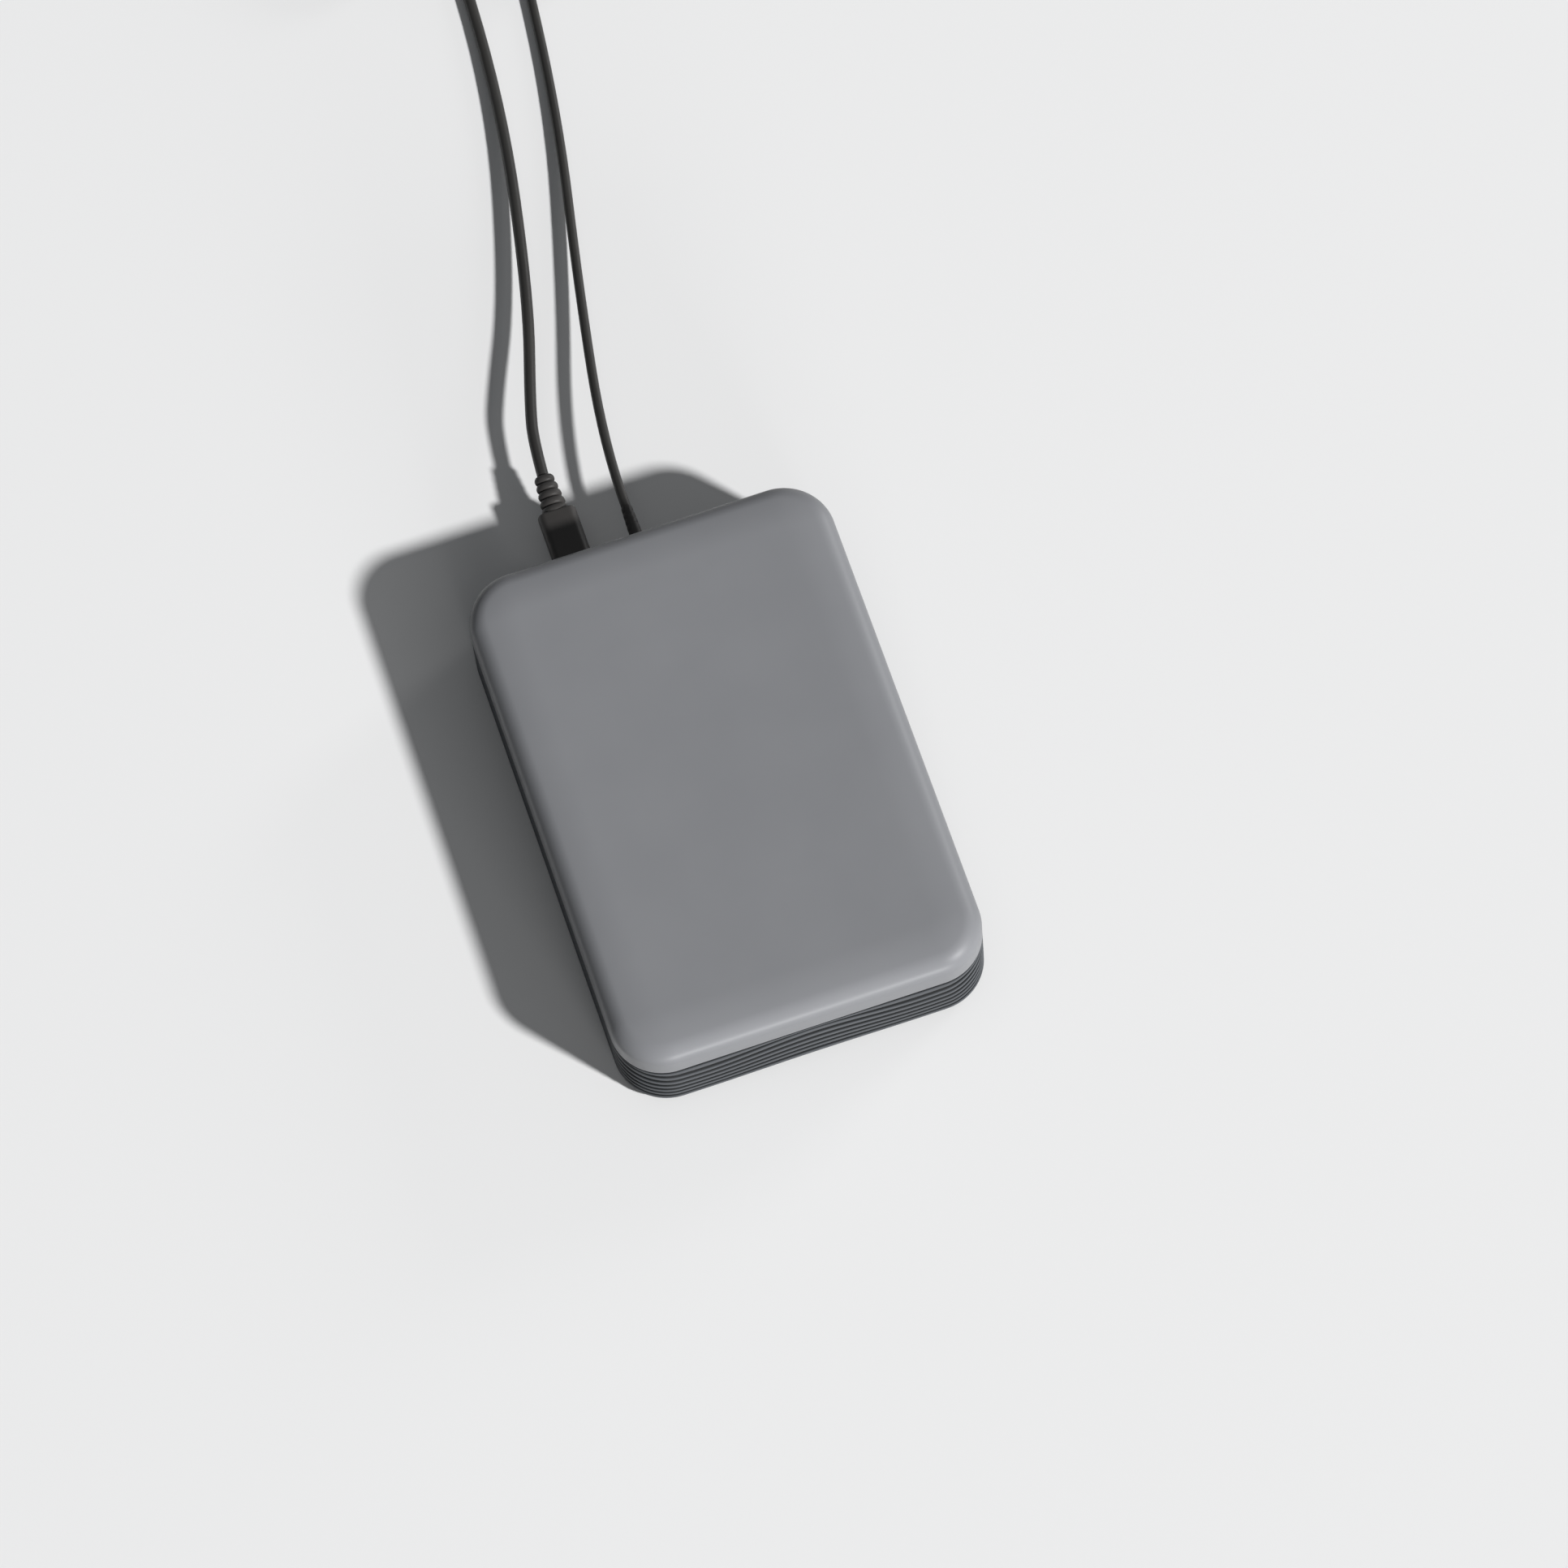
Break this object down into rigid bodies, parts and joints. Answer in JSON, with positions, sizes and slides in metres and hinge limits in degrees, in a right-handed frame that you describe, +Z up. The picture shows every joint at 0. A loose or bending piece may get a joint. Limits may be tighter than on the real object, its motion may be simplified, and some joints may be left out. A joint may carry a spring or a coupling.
{
  "type": "external hard drive",
  "caption": "Flat desktop drive case with rounded corners, a smooth soft-edged cover over a tub with wave ridges round its wall, and a data cord and a power cord plugged into its rear.",
  "frame": {"origin": "on the surface that the feet stand on, under the middle of the housing", "axes": "+X across the width to the right seen from the front, +Y along the length to the rear wall with the ports, +Z up"},
  "size_m": [0.1323, 0.4897, 0.0356],
  "materials": {
    "tub_plastic": "fine satin moulding",
    "cover_plastic": "fine satin moulding",
    "foot_rubber": "matt",
    "mount_rubber": "matt",
    "disk_metal": "cast and pressed",
    "board_laminate": "varnished",
    "chip_plastic": "matt",
    "connector_plastic": "matt",
    "port_metal": "plated",
    "plug_plastic": "soft satin",
    "cord_jacket": "soft satin",
    "tie_plastic": "matt",
    "adapter_plastic": "satin",
    "blade_metal": "nickel plated"
  },
  "bodies": {
    "root": {"base_tub": "tub_plastic", "top_cover": "cover_plastic", "rubber_foot_front_left": "foot_rubber", "rubber_foot_front_right": "foot_rubber", "rubber_foot_rear_left": "foot_rubber", "rubber_foot_rear_right": "foot_rubber", "rubber_mount_front_left": "mount_rubber", "rubber_mount_front_right": "mount_rubber", "rubber_mount_rear_left": "mount_rubber", "rubber_mount_rear_right": "mount_rubber", "disk_unit": "disk_metal", "disk_board": "board_laminate", "board_chips": "chip_plastic", "disk_connector": "connector_plastic", "bridge_board": "board_laminate", "bridge_socket": "connector_plastic", "usb_port": "port_metal", "power_jack": "connector_plastic", "usb_plug": "plug_plastic", "usb_plug_shell": "port_metal", "power_plug": "plug_plastic", "power_plug_barrel": "port_metal", "usb_cord": "cord_jacket", "usb_cord_coil": "cord_jacket", "usb_cord_tie": "tie_plastic", "host_plug": "plug_plastic", "host_plug_shell": "port_metal", "power_cord": "cord_jacket", "power_cord_coil": "cord_jacket", "power_cord_tie": "tie_plastic", "mains_adapter": "adapter_plastic", "adapter_blades": "blade_metal"}
  },
  "joints": []
}
